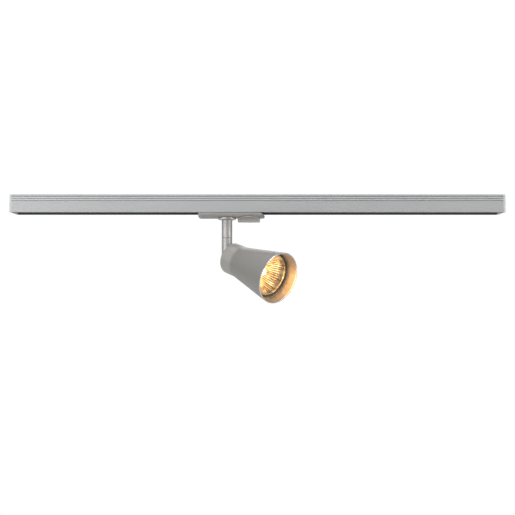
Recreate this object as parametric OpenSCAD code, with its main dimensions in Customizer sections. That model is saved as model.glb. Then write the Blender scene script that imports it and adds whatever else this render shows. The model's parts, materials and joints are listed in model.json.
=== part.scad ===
// Adjustable lamp spotlight hanging from a single-circuit lighting track.
// Millimetres, +Z up. The origin is the middle of the track's top face, which lies against the ceiling.
// +X runs along the track and -Y is the side the lamp looks towards.

/* [Track] */
// Length of the extrusion between its end caps
track_len = 602; // [400:2:1000]
// Width of the extrusion
track_w = 35; // [35:0.5:38]
// Height of the extrusion
track_h = 22; // [22:0.5:26]
// Thickness of the extrusion's top web
web_t = 2; // [1.6:0.1:2.4]
// Thickness of the extrusion's side walls
wall_t = 1.4; // [1.3:0.1:1.6]
// Clear width of the slot that the adapter drops into
slot_w = 24.6; // [24.4:0.1:25]
// Distance between the two ceiling fixing holes
fixing_pitch = 500; // [300:10:500]
// Thickness of each end cap's face plate
end_cap_t = 2.5; // [2.5:0.5:5]

/* [Adapter] */
// Place of the stem's axis along the track
stem_x = -37.9; // [-120:0.1:80]
// Length of the adapter
adapter_len = 82.2; // [80:0.1:86]
// Width of the adapter's flange
adapter_w = 32; // [30:0.5:33]
// Depth of the adapter below the track
adapter_drop = 5.1; // [5:0.1:7]
// Diameter of the collar round the top of the stem
collar_d = 22.6; // [18:0.2:23]
// Length of the lever's finger bar
lever_len = 27.7; // [24:0.1:28]

/* [Stem] */
// Diameter of the stem
stem_d = 13.2; // [12.4:0.1:13.2]
// Height of the swivel line below the ceiling
swivel_drop = 52.4; // [51:0.1:54]
// Height of the tilt pivot below the ceiling
pivot_drop = 75; // [73:0.1:76]

/* [Head] */
// Direction of the head round the stem, from +X
pan_rest = -44; // [-180:1:180]
// Angle of the head's axis below the horizontal
tilt_rest = 18.5; // [0:0.5:90]
// Length of the head from its rear face to its rim
head_len = 83; // [80:0.5:90]
// Outer diameter of the head at its rim
rim_d = 62.4; // [60:0.2:70]
// Outer diameter of the rear drum of the head
drum_d = 38.8; // [36:0.2:40]
// Length of the rear drum of the head
drum_len = 16; // [14:0.5:18]
// Distance from the tilt pivot to the head's rear face
pivot_back = 8.9; // [8.7:0.1:10]
// Wall thickness of the head
shell_t = 1.6; // [1.4:0.1:2]

/* [Lamp] */
// Diameter of the reflector lamp
lamp_d = 50.7; // [49:0.1:51]
// Distance from the lamp's front rim back from the head's rim
lamp_recess = 13.7; // [12:0.1:16]

/* [Hidden] */
$fn = 72;
eps = 1;

// Colours
silver = [0.70, 0.70, 0.70];
aluminium = [0.78, 0.78, 0.79];
black_plastic = [0.09, 0.09, 0.09];
copper = [0.80, 0.48, 0.30];
brass = [0.80, 0.66, 0.36];
steel = [0.62, 0.62, 0.64];
ceramic = [0.92, 0.91, 0.87];
glass = [0.85, 0.90, 0.92, 0.5];
dichroic = [0.95, 0.80, 0.50];
silicone = [0.16, 0.15, 0.15];

// Track cross-section, half widths and heights
half_w = track_w / 2;
inner_y = half_w - wall_t;
lip_y = slot_w / 2 + 0.6;
lip_top = -track_h + 3;
lip_bottom = lip_top - 1.4;
groove_first = 2.8;
groove_pitch = 2.45;
groove_count = 3;
groove_w = 1.2;
groove_depth = 0.7;
port_size = 5.2;
port_r = 1.3;
port_y = inner_y - port_size / 2;
port_z = -web_t - port_size / 2;
insulator_top = -web_t - port_size - 0.1;
insulator_bottom = lip_top + 2.5;
insulator_in = slot_w / 2 + 0.1;
conductor_z = (insulator_top + insulator_bottom) / 2;
conductor_h = 3;
conductor_t = 1;
contact_groove_h = 4;
conductor_face = inner_y - 1.1 - conductor_t;
strip_setback = 2;
fixing_hole_r = 2.3;
earth_y = 5;
earth_w = 4;
earth_t = 0.8;

// Adapter heights and places
track_gap = 0.15;
flange_top = -track_h - track_gap;
flange_t = 2.6;
flange_bottom = flange_top - flange_t;
cover_bottom = -track_h - adapter_drop;
cover_inset = 0.25;
adapter_left = stem_x - 35.2;
adapter_right = adapter_left + adapter_len;
adapter_mid = (adapter_left + adapter_right) / 2;
block_half_w = slot_w / 2 - 0.5;
block_left = adapter_left + 2.1;
block_right = adapter_right - 1.9;
wing_z = lip_top + 0.2;
wing_t = 2;
window_bottom = wing_z - 0.25;
window_top = wing_z + wing_t + 0.25;
lid_t = 2.35;
lid_top = window_top + lid_t;
lever_x = stem_x + 27.2;
rotor_r = 5;
lever_recess = 1.7;
lever_recess_r = 14.4;
lever_disc_r = 13.2;
lever_top = cover_bottom + lever_recess - 0.2;
lever_disc_bottom = lever_top - 1.8;
lever_bottom = cover_bottom - 6;
rotor_top = conductor_z + 2.4;
wing_r = 15.5;
contact_r = conductor_face - 0.1;
cavity_left = adapter_left + 10;
cavity_right = lever_x - 16.3;
cavity_half_w = 9.8;
corner_left = 3.4;
corner_right = 5.1;
cover_screw_x = [adapter_left + 6.6, adapter_right - 4.5];
cover_screw_y = 9;
cover_screw_r = 1.2;

// Stem heights
stem_r = stem_d / 2;
stem_top = cover_bottom - 2.9;
nipple_r = 5;
nipple_bore_r = 2.9;
nipple_top = cover_bottom + 6.7;
nipple_bottom = stem_top - 10.6;
nut_h = 3.5;
swivel_z = -swivel_drop;
swivel_gap = 0.2;
pin_r = 4;
pin_bore_r = 2.6;
shoulder_z = swivel_z - 5.6;
washer_t = 1;
spring_t = 2;
flange_z = shoulder_z - washer_t - spring_t;
pin_flange_t = 1.5;
lower_bore_r = 5.05;
pivot_z = -pivot_drop;
hinge_r = 4.2;
hinge_room = hinge_r + 0.3;
tip_r = 5.5;
tongue_half_t = 3;
tube_end = pivot_z + hinge_room + 0.5;
plug_top = flange_z - pin_flange_t - 0.4;
pivot_r = 1.5;

// Cable: down the stem, round a bend through the tongue, then along the head's axis
cable_r = 1.2;
cable_bend_r = 7;
cable_bend_z = 10.5;
cable_turn = 90 - tilt_rest;
cable_end_x = cable_bend_r * (1 - cos(cable_turn));
cable_end_z = cable_bend_z - cable_bend_r * sin(cable_turn);
cable_off = cable_end_x * sin(tilt_rest) + cable_end_z * cos(tilt_rest);
cable_along = cable_end_x * cos(tilt_rest) - cable_end_z * sin(tilt_rest);
cable_split = 40;
cable_top = nipple_top + 1.9;

// Head, measured along its axis from the rear face
rear_wall_t = 2.5;
drum_r = drum_d / 2;
rim_r = rim_d / 2;
rear_fillet = 1.2;
neck_blend = 4;
plate_z = rear_wall_t + 1.3;
plate_t = 1.2;
holder_z = plate_z + plate_t;
holder_len = 14;
holder_r = 13;
holder_face = holder_z + holder_len;
keyway_t = 2;
pin_circle_r = 5;
twist = 20;
ear_in = tongue_half_t + 0.5;
ear_out = ear_in + 1.8;
bracket_t = 1.6;
rear_screw_y = 11;
holder_screw_x = 10.2;

// Lamp, measured along the head's axis from the rear face
lamp_front = head_len - lamp_recess;
lamp_back = holder_face + 0.3;
lamp_r = lamp_d / 2;
rim_band = 3.8;
bowl_front = lamp_front - rim_band;
bowl_back = lamp_back + 14.7;
bowl_neck_r = 13;
bowl_t = 1.6;
glass_t = 2.2;

// ---------- helpers ----------

// A shape of the track's cross-section, drawn as (y, z) and run along X
module along_track(len) {
    rotate([90, 0, 90]) linear_extrude(height = len, center = true) children();
}

// One half of a cross-section drawn at +Y, moved to the front or the rear wall
module wall_side(front) {
    if (front) mirror([0, 1, 0]) children();
    else children();
}

// A tube between two heights
module tube(r_out, r_in, z_low, z_high) {
    translate([0, 0, z_low]) difference() {
        cylinder(r = r_out, h = z_high - z_low);
        translate([0, 0, -eps]) cylinder(r = r_in, h = z_high - z_low + 2 * eps);
    }
}

// A rod between two heights
module rod(r, z_low, z_high) {
    translate([0, 0, z_low]) cylinder(r = r, h = z_high - z_low);
}

// A round bar bent to an arc: it starts at the origin along -Z and turns towards +X
module bent_bar(r, bend_r, angle) {
    translate([bend_r, 0, 0]) rotate([90, 0, 0]) rotate([0, 0, 180])
        rotate_extrude(angle = angle) translate([bend_r, 0]) circle(r = r);
}

// Points of a quarter round, centre c, from angle a0 to a1
function arc(c, r, a0, a1, steps = 6) =
    [for (i = [0:steps]) let (a = a0 + (a1 - a0) * i / steps) [c[0] + r * cos(a), c[1] + r * sin(a)]];

// The stem's frame turned with the head's pan: +X is towards the head, +Y is the tilt axis
module on_stem() {
    translate([stem_x, 0, 0]) rotate([0, 0, pan_rest]) children();
}

// The tilt pivot's frame in the stem, before the tilt
module on_pivot() {
    translate([stem_x, 0, pivot_z]) rotate([0, 0, pan_rest]) children();
}

// The head's frame: +Z runs from the rear face to the rim, +X is below the axis, +Y is the tilt axis
module on_head() {
    on_pivot() rotate([0, tilt_rest, 0]) rotate([0, 90, 0]) translate([0, 0, pivot_back]) children();
}

// ---------- track ----------

function groove_points(i) = let (z = -groove_first - i * groove_pitch) [
    [half_w, z + groove_w / 2], [half_w - groove_depth, z + groove_w / 2 - 0.15],
    [half_w - groove_depth, z - groove_w / 2 + 0.15], [half_w, z - groove_w / 2]
];

function profile_half() = concat(
    [[half_w - 0.5, 0], [half_w, -0.5]],
    [for (i = [0:groove_count - 1]) each groove_points(i)],
    [[half_w, -track_h + 0.3], [half_w - 0.3, -track_h], [inner_y, -track_h], [inner_y, lip_bottom],
     [lip_y, lip_bottom], [lip_y, lip_top], [inner_y, lip_top], [inner_y, -web_t - port_size],
     [inner_y - port_size, -web_t - port_size], [inner_y - port_size, -web_t]]
);

function mirrored(points) = [for (i = [len(points) - 1:-1:0]) [-points[i][0], points[i][1]]];

module track_profile() {
    color(silver) difference() {
        along_track(track_len) polygon(concat(profile_half(), mirrored(profile_half())));
        for (side = [-1, 1]) translate([0, side * port_y, port_z])
            rotate([0, 90, 0]) cylinder(r = port_r, h = track_len + 2 * eps, center = true);
        for (side = [-1, 1]) translate([side * fixing_pitch / 2, 0, -web_t - eps])
            cylinder(r = fixing_hole_r, h = web_t + 2 * eps);
    }
}

module insulator(front) {
    groove_top = conductor_z + contact_groove_h / 2;
    groove_bottom = conductor_z - contact_groove_h / 2;
    seat_top = conductor_z + conductor_h / 2;
    seat_bottom = conductor_z - conductor_h / 2;
    seat_back = conductor_face + conductor_t;
    color(black_plastic) wall_side(front) along_track(track_len) polygon([
        [insulator_in, insulator_top], [inner_y, insulator_top], [inner_y, insulator_bottom],
        [insulator_in, insulator_bottom], [insulator_in, groove_bottom], [conductor_face, groove_bottom],
        [conductor_face, seat_bottom], [seat_back, seat_bottom], [seat_back, seat_top],
        [conductor_face, seat_top], [conductor_face, groove_top], [insulator_in, groove_top]
    ]);
}

module slot_liner(front) {
    color(black_plastic) wall_side(front) along_track(track_len) polygon([
        [inner_y, -track_h], [slot_w / 2, -track_h], [slot_w / 2, lip_top], [lip_y, lip_top],
        [lip_y, lip_bottom], [inner_y, lip_bottom]
    ]);
}

module conductor(front) {
    color(copper) wall_side(front) along_track(track_len - 2 * strip_setback)
        translate([conductor_face, conductor_z - conductor_h / 2]) square([conductor_t, conductor_h]);
}

module earth_strip() {
    color(copper) along_track(track_len - 2 * strip_setback)
        translate([earth_y, -web_t - earth_t]) square([earth_w, earth_t]);
}

// The right-hand cap; the left one is its mirror image
module end_cap() {
    plug_half_w = slot_w / 2 - 0.3;
    plug_len = 8;
    corner = 0.8;
    outline = [
        [half_w - corner, 0], [half_w, -corner], [half_w, -track_h + corner], [half_w - corner, -track_h]
    ];
    color(silver) translate([track_len / 2, 0, 0]) difference() {
        union() {
            translate([end_cap_t / 2, 0, 0]) along_track(end_cap_t)
                polygon(concat(outline, mirrored(outline)));
            translate([-plug_len, -plug_half_w, lip_top + 0.4])
                cube([plug_len + eps, 2 * plug_half_w, insulator_top - lip_top - 0.8]);
        }
        for (side = [-1, 1]) translate([0, side * port_y, port_z]) rotate([0, 90, 0]) {
            translate([0, 0, -eps]) cylinder(r = 1.6, h = end_cap_t + 2 * eps);
            translate([0, 0, end_cap_t - 1.5]) cylinder(r1 = 1.6, r2 = 3.1, h = 1.5);
            translate([0, 0, end_cap_t]) cylinder(r = 3.1, h = eps);
        }
    }
}

module end_cap_screws() {
    head_h = 1.4;
    color(steel) for (end = [0, 1], side = [-1, 1]) mirror([end, 0, 0])
        translate([track_len / 2 + end_cap_t - 0.1, side * port_y, port_z])
        rotate([0, -90, 0]) difference() {
            union() {
                cylinder(r1 = 2.8, r2 = 1.25, h = head_h);
                cylinder(r = 1.25, h = 12);
            }
            translate([0, 0, -eps]) cylinder(r = 1.1, h = eps + 0.9, $fn = 6);
        }
}

// ---------- adapter ----------

// Plan outline of the flange and cover: rounded left corners and chamfered right corners
function adapter_outline(inset) = let (
    left = adapter_left + inset,
    right = adapter_right - inset,
    side = adapter_w / 2 - inset
) concat(
    [[right, side - corner_right], [right - corner_right, side]],
    arc([left + corner_left, side - corner_left], corner_left, 90, 180),
    arc([left + corner_left, -side + corner_left], corner_left, 180, 270),
    [[right - corner_right, -side], [right, -side + corner_right]]
);

// Undercut of the right-hand end: it clears the track at the top and leaves a thin lip below
module end_undercut() {
    lip_z = cover_bottom + 1.1;
    rotate([90, 0, 0]) linear_extrude(height = adapter_w + 2 * eps, center = true) polygon([
        [adapter_right - corner_right, flange_top], [adapter_right - corner_right, flange_top + eps],
        [adapter_right + eps, flange_top + eps], [adapter_right + eps, lip_z], [adapter_right, lip_z]
    ]);
}

module cover_screw_places() {
    for (x = cover_screw_x, side = [-1, 1]) translate([x, side * cover_screw_y, 0]) children();
}

module adapter_body() {
    color(silver) difference() {
        union() {
            difference() {
                translate([0, 0, flange_bottom]) linear_extrude(height = flange_t)
                    polygon(adapter_outline(0));
                end_undercut();
            }
            translate([block_left, -block_half_w, flange_bottom + eps])
                cube([block_right - block_left, 2 * block_half_w, window_top - flange_bottom - eps]);
        }
        translate([cavity_left, -cavity_half_w, flange_bottom - eps])
            cube([cavity_right - cavity_left, 2 * cavity_half_w, window_top - flange_bottom + 2 * eps]);
        translate([lever_x, 0, 0]) {
            rod(rotor_r + 0.08, flange_bottom - eps, window_top + eps);
            rod(wing_r + 0.4, window_bottom, window_top + eps);
        }
        cover_screw_places() rod(cover_screw_r + 0.05, flange_bottom - eps, window_top + eps);
    }
}

module adapter_lid() {
    color(silver) difference() {
        translate([block_left, -block_half_w, window_top])
            cube([block_right - block_left, 2 * block_half_w, lid_t]);
        translate([lever_x, 0, 0]) rod(rotor_r + 0.08, window_top - eps, lid_top + eps);
        cover_screw_places() rod(cover_screw_r + 0.05, window_top - eps, lid_top - 0.8);
    }
}

module adapter_cover() {
    bevel = 0.5;
    scallop_half_l = 11;
    scallop_r = 18.4;
    upright_h = flange_bottom - cover_bottom - bevel;
    color(silver) difference() {
        union() {
            translate([0, 0, cover_bottom + bevel]) linear_extrude(height = upright_h)
                polygon(adapter_outline(cover_inset));
            translate([0, 0, cover_bottom]) linear_extrude(height = bevel)
                polygon(adapter_outline(cover_inset + bevel / 2));
        }
        end_undercut();
        translate([stem_x, 0, 0]) rod(nipple_r + 0.1, cover_bottom - eps, flange_bottom + eps);
        translate([lever_x, 0, 0]) {
            rod(rotor_r + 0.15, cover_bottom - eps, flange_bottom + eps);
            rod(lever_recess_r, cover_bottom - eps, cover_bottom + lever_recess);
            intersection() {
                translate([0, 0, cover_bottom]) cylinder(r1 = scallop_r, r2 = adapter_w / 2, h = lever_recess);
                translate([-scallop_half_l, -20, cover_bottom - eps]) cube([2 * scallop_half_l, 40, 4]);
            }
        }
        cover_screw_places() {
            rod(cover_screw_r + 0.15, cover_bottom - eps, flange_bottom + eps);
            rod(2.4, cover_bottom - eps, cover_bottom + 1.5);
        }
    }
}

module adapter_screws() {
    color(steel) cover_screw_places() difference() {
        union() {
            rod(2.2, cover_bottom + 0.2, cover_bottom + 1.5);
            rod(cover_screw_r, cover_bottom + 1, lid_top - 1);
        }
        translate([0, 0, cover_bottom - eps]) cylinder(r = 1.15, h = eps + 1, $fn = 6);
    }
}

// Leaf that rises from the lid and bears on the earth strip
module earth_spring() {
    leaf_t = 0.4;
    rise = -web_t - earth_t - 0.1 - lid_top;
    x = stem_x - 17.5;
    color(copper) translate([x, earth_y + 0.3, 0]) rotate([90, 0, 0]) mirror([0, 0, 1])
        linear_extrude(height = earth_w - 0.6) polygon([
            [-7, lid_top], [1, lid_top], [11, lid_top + rise - leaf_t], [16, lid_top + rise - leaf_t],
            [19, lid_top + rise - 2.4], [19.4, lid_top + rise - 2.1], [16.2, lid_top + rise],
            [10.8, lid_top + rise], [0.8, lid_top + leaf_t], [-7, lid_top + leaf_t]
        ]);
}

terminal_x = adapter_left + 12;
terminal_len = 12;
terminal_h = 7.7;
terminal_pitch = 5;

module terminal_block() {
    color(ceramic) difference() {
        translate([terminal_x, -8, flange_bottom + 0.2]) cube([terminal_len, 16, terminal_h]);
        for (i = [-1:1]) translate([terminal_x + terminal_len / 2, i * terminal_pitch, 0])
            rod(1.7, flange_bottom + 2.6, flange_bottom + terminal_h + eps);
        translate([terminal_x + terminal_len - 3, 0, cable_top])
            rotate([0, 90, 0]) cylinder(r = cable_r + 0.1, h = 3 + eps);
    }
}

module terminal_screws() {
    terminal_mid = terminal_x + terminal_len / 2;
    color(brass) for (i = [-1:1]) translate([terminal_mid, i * terminal_pitch, 0]) difference() {
        rod(1.6, flange_bottom + 2.6, flange_bottom + terminal_h - 0.6);
        translate([-0.3, -2, flange_bottom + terminal_h - 1.3]) cube([0.6, 4, 2]);
    }
}

module collar() {
    r = collar_d / 2;
    color(silver) translate([stem_x, 0, 0]) rotate_extrude() polygon(concat(
        [[nipple_r + 0.1, cover_bottom], [r - 0.5, cover_bottom]],
        arc([r - 0.6, cover_bottom - 0.6], 0.6, 90, 0, 3),
        arc([r - 1.5, stem_top + 1.5], 1.5, 0, -90),
        [[nipple_r + 0.1, stem_top]]
    ));
}

module stem_nut() {
    color(steel) translate([stem_x, 0, flange_bottom]) difference() {
        cylinder(r = 8, h = nut_h, $fn = 6);
        translate([0, 0, -eps]) cylinder(r = nipple_r + 0.03, h = nut_h + 2 * eps);
    }
}

module stem_nipple() {
    color(brass) translate([stem_x, 0, 0]) tube(nipple_r, nipple_bore_r, nipple_bottom, nipple_top);
}

module stem_upper() {
    step_z = nipple_bottom - 0.4;
    edge = 0.35;
    color(silver) translate([stem_x, 0, 0]) rotate_extrude() polygon([
        [nipple_r + 0.03, stem_top], [stem_r - 0.2, stem_top], [stem_r, stem_top - 0.2],
        [stem_r, swivel_z + edge], [stem_r - edge, swivel_z], [pin_r + 0.03, swivel_z],
        [pin_r + 0.03, step_z], [nipple_r + 0.03, step_z]
    ]);
}

module swivel_pin() {
    color(brass) translate([stem_x, 0, 0]) rotate_extrude() polygon([
        [pin_bore_r, nipple_bottom - 0.8], [pin_r, nipple_bottom - 0.8], [pin_r, flange_z],
        [lower_bore_r - 0.15, flange_z], [lower_bore_r - 0.15, flange_z - pin_flange_t],
        [pin_bore_r, flange_z - pin_flange_t]
    ]);
}

// Cable from the terminal block, over a bend and down to the swivel line
module cable_upper() {
    bend_r = 4;
    run_start = terminal_x + terminal_len - 2.5;
    color(silicone) {
        translate([run_start, 0, cable_top]) rotate([0, 90, 0])
            cylinder(r = cable_r, h = stem_x - bend_r - run_start);
        translate([stem_x, 0, cable_top - bend_r]) rotate([0, 0, 180]) mirror([0, 0, 1])
            bent_bar(cable_r, bend_r, 90);
        translate([stem_x, 0, 0]) rod(cable_r, swivel_z, cable_top - bend_r);
    }
}

// ---------- lock lever ----------

module lock_rotor() {
    wing_w = 8;
    color(black_plastic) translate([lever_x, 0, 0]) difference() {
        union() {
            rod(rotor_r, lever_top, rotor_top);
            intersection() {
                rod(wing_r, wing_z, wing_z + wing_t);
                translate([-wing_w / 2, -wing_r, wing_z]) cube([wing_w, 2 * wing_r, wing_t]);
            }
        }
        rod(1.05, lever_top - eps, cover_bottom + 9);
        translate([-3, -rotor_r - eps, conductor_z - 0.6]) cube([6, 2 * (rotor_r + eps), 1.2]);
    }
}

// Two copper arms held in the rotor's slot, one for each conductor
module contact_arms() {
    arm_w = 5.6;
    color(copper) translate([lever_x, 0, 0]) for (side = [0, 180]) rotate([0, 0, side]) intersection() {
        rod(contact_r, conductor_z - 0.5, conductor_z + 0.5);
        translate([-arm_w / 2, 1, conductor_z - 0.5]) cube([arm_w, contact_r, 1]);
    }
}

module lock_lever() {
    bar_w = 4.8;
    corner = 1.6;
    half = lever_len / 2;
    color(silver) translate([lever_x, 0, 0]) difference() {
        union() {
            rotate_extrude() polygon(concat(
                [[0, lever_top], [lever_disc_r, lever_top]],
                arc([lever_disc_r - 0.8, lever_disc_bottom + 0.8], 0.8, 0, -90, 4),
                [[0, lever_disc_bottom]]
            ));
            rotate([90, 0, 0]) linear_extrude(height = bar_w, center = true) polygon(concat(
                [[half, lever_top - 0.2], [-half, lever_top - 0.2]],
                arc([-half + corner, lever_bottom + corner], corner, 180, 270),
                arc([half - corner, lever_bottom + corner], corner, 270, 360)
            ));
        }
        rod(1.15, lever_bottom - eps, lever_top + eps);
        rod(2.05, lever_bottom - eps, lever_bottom + 2);
    }
}

module lever_screw() {
    color(steel) translate([lever_x, 0, 0]) difference() {
        union() {
            rod(1.95, lever_bottom + 0.5, lever_bottom + 2);
            rod(1, lever_bottom + 1, cover_bottom + 8);
        }
        translate([0, 0, lever_bottom]) cylinder(r = 1, h = 1.3, $fn = 6);
    }
}

// ---------- lower stem ----------

module stem_lower() {
    edge = 0.35;
    top = swivel_z - swivel_gap;
    color(silver) on_stem() difference() {
        rotate_extrude() polygon([
            [pin_r + 0.06, top], [stem_r - edge, top], [stem_r, top - edge], [stem_r, tube_end],
            [lower_bore_r, tube_end], [lower_bore_r, shoulder_z], [pin_r + 0.06, shoulder_z]
        ]);
        translate([0, 0, (tube_end + plug_top) / 2]) rotate([0, -90, 0])
            cylinder(r = 1.25, h = stem_r + eps);
    }
}

module swivel_washer() {
    color(black_plastic) on_stem() tube(lower_bore_r - 0.1, pin_r + 0.1, shoulder_z - washer_t, shoulder_z);
}

// Wave washer that presses the swivel together, drawn as three stacked rings
module swivel_spring() {
    ring_t = 0.4;
    color(steel) on_stem() for (z = [flange_z + 0.2 : 0.6 : flange_z + 1.5])
        tube(lower_bore_r - 0.15, pin_r + 0.15, z, z + ring_t);
}

// Space that the bracket's ears sweep on one side of the tongue, from level to straight down
module ear_room() {
    depth = stem_r + eps - tongue_half_t;
    translate([0, tongue_half_t, 0]) {
        rotate([-90, 0, 0]) cylinder(r = hinge_room, h = depth);
        translate([0, 0, -eps]) cube([stem_r + eps, depth, hinge_room + eps]);
    }
}

// Solid end of the stem: flats milled for the bracket's ears and a slot milled for the cable
module hinge_tongue() {
    slot_half = cable_r + 0.15;
    slot_low = 2.6;
    color(silver) on_stem() difference() {
        union() {
            rod(lower_bore_r - 0.02, tube_end, plug_top);
            difference() {
                rod(stem_r, pivot_z, tube_end);
                for (side = [0, 1]) translate([0, 0, pivot_z]) mirror([0, side, 0]) ear_room();
            }
            translate([0, 0, pivot_z]) rotate([90, 0, 0])
                cylinder(r = tip_r, h = 2 * tongue_half_t, center = true);
        }
        translate([0, 0, pivot_z]) {
            rotate([90, 0, 0]) cylinder(r = pivot_r + 0.05, h = 4 * tongue_half_t, center = true);
            rod(slot_half, slot_low, cable_bend_z + stem_r);
            translate([0, -slot_half, slot_low]) cube([stem_r + eps, 2 * slot_half, stem_r + cable_bend_z]);
            translate([4, -slot_half, slot_low - 1]) cube([stem_r, 2 * slot_half, 1 + eps]);
        }
        translate([0, 0, (tube_end + plug_top) / 2]) rotate([0, -90, 0])
            translate([0, 0, 3.2]) cylinder(r = 1.25, h = stem_r);
    }
}

module tongue_screw() {
    color(steel) on_stem() translate([0, 0, (tube_end + plug_top) / 2]) rotate([0, -90, 0]) difference() {
        translate([0, 0, 3.3]) cylinder(r = 1.2, h = stem_r - 3.5);
        translate([0, 0, stem_r - 1.2]) cylinder(r = 0.75, h = 2, $fn = 6);
    }
}

// Cable from the swivel line down into the first part of the bend
module cable_lower() {
    color(silicone) on_pivot() {
        translate([0, 0, cable_bend_z]) bent_bar(cable_r, cable_bend_r, cable_split);
        rod(cable_r, cable_bend_z, swivel_z - pivot_z);
    }
}

// The stretch of cable that flexes as the head tilts
module cable_flex() {
    turned_x = cable_bend_r * (1 - cos(cable_split));
    turned_z = cable_bend_z - cable_bend_r * sin(cable_split);
    color(silicone) {
        on_pivot() translate([turned_x, 0, turned_z]) rotate([0, -cable_split, 0])
            bent_bar(cable_r, cable_bend_r, cable_turn - cable_split);
        on_head() translate([-cable_off, 0, 0]) rod(cable_r, cable_along - pivot_back, 0);
    }
}

// ---------- head ----------

// Outer radius of the flared part at a distance from the rear face
function flare_r(s) = drum_r + (rim_r - drum_r) * (s - drum_len - neck_blend / 2)
    / (head_len - drum_len - neck_blend / 2);

// Points of the smooth step from the drum into the flare
function neck_points(offset) = [for (i = [0:6]) let (
    t = i / 6,
    s = drum_len + neck_blend * t
) [drum_r - offset + (flare_r(drum_len + neck_blend) - drum_r) * t * t, s]];

module head_shell() {
    color(silver) on_head() difference() {
        rotate_extrude() polygon(concat(
            [[0, 0]],
            arc([drum_r - rear_fillet, rear_fillet], rear_fillet, -90, 0),
            neck_points(0),
            [[rim_r - 0.15, head_len - 0.8]],
            arc([rim_r - 0.8, head_len - 0.7], 0.7, 0, 90, 6),
            arc([rim_r - shell_t + 0.4, head_len - 0.4], 0.4, 90, 180, 4),
            [for (i = [6:-1:0]) neck_points(shell_t)[i]],
            [[drum_r - shell_t, rear_wall_t], [0, rear_wall_t]]
        ));
        translate([-cable_off, 0, -eps]) cylinder(r = 2, h = rear_wall_t + 2 * eps);
        for (side = [-1, 1]) translate([0, side * rear_screw_y, 0]) rod(1.6, -eps, rear_wall_t + eps);
    }
}

module hinge_bracket() {
    plate_half_l = 14;
    plate_half_w = 8;
    color(silver) on_head() translate([0, 0, -pivot_back]) difference() {
        union() {
            intersection() {
                translate([-plate_half_w, -plate_half_l, pivot_back - bracket_t])
                    cube([2 * plate_half_w, 2 * plate_half_l, bracket_t]);
                translate([0, 0, pivot_back - bracket_t]) cylinder(r = plate_half_l + 0.4, h = bracket_t);
            }
            for (side = [-1, 1]) translate([0, side * (ear_in + ear_out) / 2, 0]) {
                rotate([90, 0, 0]) cylinder(r = hinge_r, h = ear_out - ear_in, center = true);
                translate([-hinge_r, -(ear_out - ear_in) / 2, 0])
                    cube([2 * hinge_r, ear_out - ear_in, pivot_back - bracket_t + 0.2]);
            }
        }
        rotate([90, 0, 0]) cylinder(r = pivot_r + 0.03, h = 4 * ear_out, center = true);
        rotate([-90, 0, 0]) translate([0, 0, ear_out - 1.2]) cylinder(r1 = pivot_r, r2 = 2.9, h = 1.21);
        translate([-cable_off, 0, 0]) rod(cable_r + 0.3, pivot_back - bracket_t - eps, pivot_back + eps);
        for (side = [-1, 1]) translate([0, side * rear_screw_y, 0])
            rod(1.6, pivot_back - bracket_t - eps, pivot_back + eps);
    }
}

module friction_washers() {
    washer_gap = 0.05;
    color(black_plastic) on_pivot() for (side = [-1, 1])
        rotate([90 * side, 0, 0]) tube(hinge_r - 0.5, pivot_r + 0.1, tongue_half_t + washer_gap, ear_in);
}

module pivot_screw() {
    color(steel) on_pivot() rotate([-90, 0, 0]) difference() {
        union() {
            rod(pivot_r, -ear_out, ear_out - 0.1);
            translate([0, 0, ear_out - 1.15]) cylinder(r1 = pivot_r, r2 = 2.6, h = 1.1);
        }
        translate([0, 0, ear_out - 1]) cylinder(r = 1.1, h = 2, $fn = 6);
    }
}

module rear_screws() {
    head_h = 1.6;
    color(steel) on_head() for (side = [-1, 1]) translate([0, side * rear_screw_y, 0]) difference() {
        union() {
            rod(2.7, -bracket_t - head_h, -bracket_t);
            rod(1.5, -bracket_t, plate_z + plate_t);
        }
        translate([0, 0, -bracket_t - head_h - eps]) cylinder(r = 1.3, h = eps + 1.1, $fn = 6);
    }
}

// Steel plate on two pressed feet, which carries the lamp holder
module holder_plate() {
    color(steel) on_head() difference() {
        union() {
            rod(14.5, plate_z, plate_z + plate_t);
            for (side = [-1, 1]) translate([0, side * rear_screw_y, 0]) rod(3, rear_wall_t, plate_z + 0.1);
        }
        for (side = [-1, 1]) translate([0, side * rear_screw_y, 0])
            rod(1.53, rear_wall_t - eps, plate_z + plate_t + eps);
        for (side = [-1, 1]) translate([side * holder_screw_x, 0, 0])
            rod(1.25, plate_z - eps, plate_z + plate_t + eps);
        translate([-cable_off, 0, 0]) rod(2.2, plate_z - eps, plate_z + plate_t + eps);
    }
}

// Ceramic holder with a bayonet keyway for the lamp's two pins
module lamp_holder() {
    neck_half = 1.8;
    pocket_z = holder_z + 7;
    keyway_z = holder_face - keyway_t;
    color(ceramic) on_head() difference() {
        union() {
            rod(holder_r, holder_z, holder_face - 1);
            translate([0, 0, holder_face - 1]) cylinder(r1 = holder_r, r2 = holder_r - 1, h = 1);
        }
        tube(pin_circle_r + 3.1, pin_circle_r - 3.1, pocket_z, keyway_z);
        for (turn = [0, 180]) rotate([0, 0, turn]) {
            rotate_extrude(angle = twist) translate([pin_circle_r - neck_half, keyway_z - 0.1])
                square([2 * neck_half, keyway_t + eps]);
            translate([pin_circle_r, 0, 0]) rod(neck_half, keyway_z - 0.1, holder_face + eps);
            rotate([0, 0, twist]) translate([pin_circle_r, 0, 0])
                rod(2.8, keyway_z - 0.1, holder_face + eps);
        }
        for (side = [-1, 1]) {
            translate([side * holder_screw_x, 0, 0]) rod(1.25, holder_z - eps, holder_z + 6);
            translate([-cable_off, side * 0.7, 0]) rod(0.65, holder_z - eps, holder_z + 3);
            translate([0, side * rear_screw_y, 0]) rod(1.6, holder_z - eps, holder_z + 1);
        }
    }
}

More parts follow.
